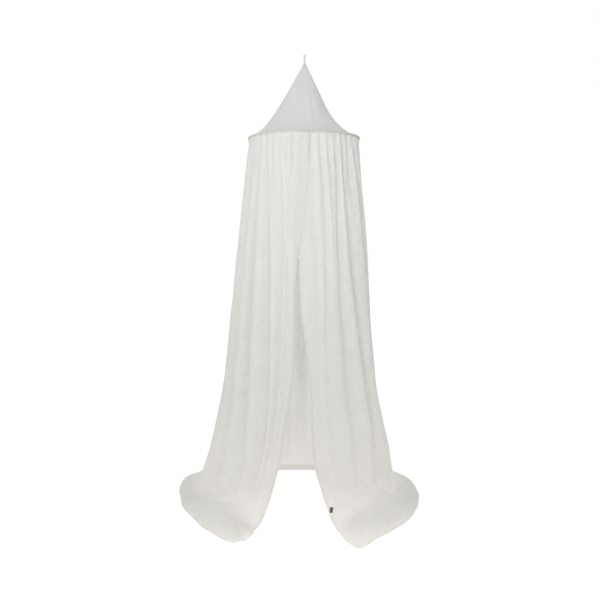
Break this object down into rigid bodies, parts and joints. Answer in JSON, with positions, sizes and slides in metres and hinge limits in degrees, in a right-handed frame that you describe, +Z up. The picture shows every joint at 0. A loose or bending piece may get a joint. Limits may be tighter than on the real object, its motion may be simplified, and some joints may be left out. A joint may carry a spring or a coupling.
{
  "type": "mosquito net canopy with hoop",
  "caption": "Canopy of thin spotted cotton gathered on a hoop under a cone roof, hung from a tape loop, open in a slit at the front, its front cloth lying on the floor in rounded feet.",
  "frame": {"origin": "the inner top of the hanging loop's eye, where a ceiling hook bears", "axes": "+Z up, along the hoop's axis; -Y towards the front, where the slit is; +X to the viewer's right"},
  "size_m": [1.081, 0.8461, 1.9932],
  "materials": {
    "printed_cotton": "thin off-white cotton voile with small scattered grey spots",
    "roof_cotton": "the same voile, drawn smooth over the roof",
    "casing_cotton": "cotton rolled round the rod, in shade",
    "tape": "narrow woven cotton tape",
    "rod": "plain white plastic rod",
    "label": "blank dark grey woven tape"
  },
  "bodies": {
    "root": {"hanging_loop": "tape", "roof": "roof_cotton", "hoop": "rod", "hoop_casing": "casing_cotton", "net_wall": "printed_cotton", "label": "label"}
  },
  "joints": []
}
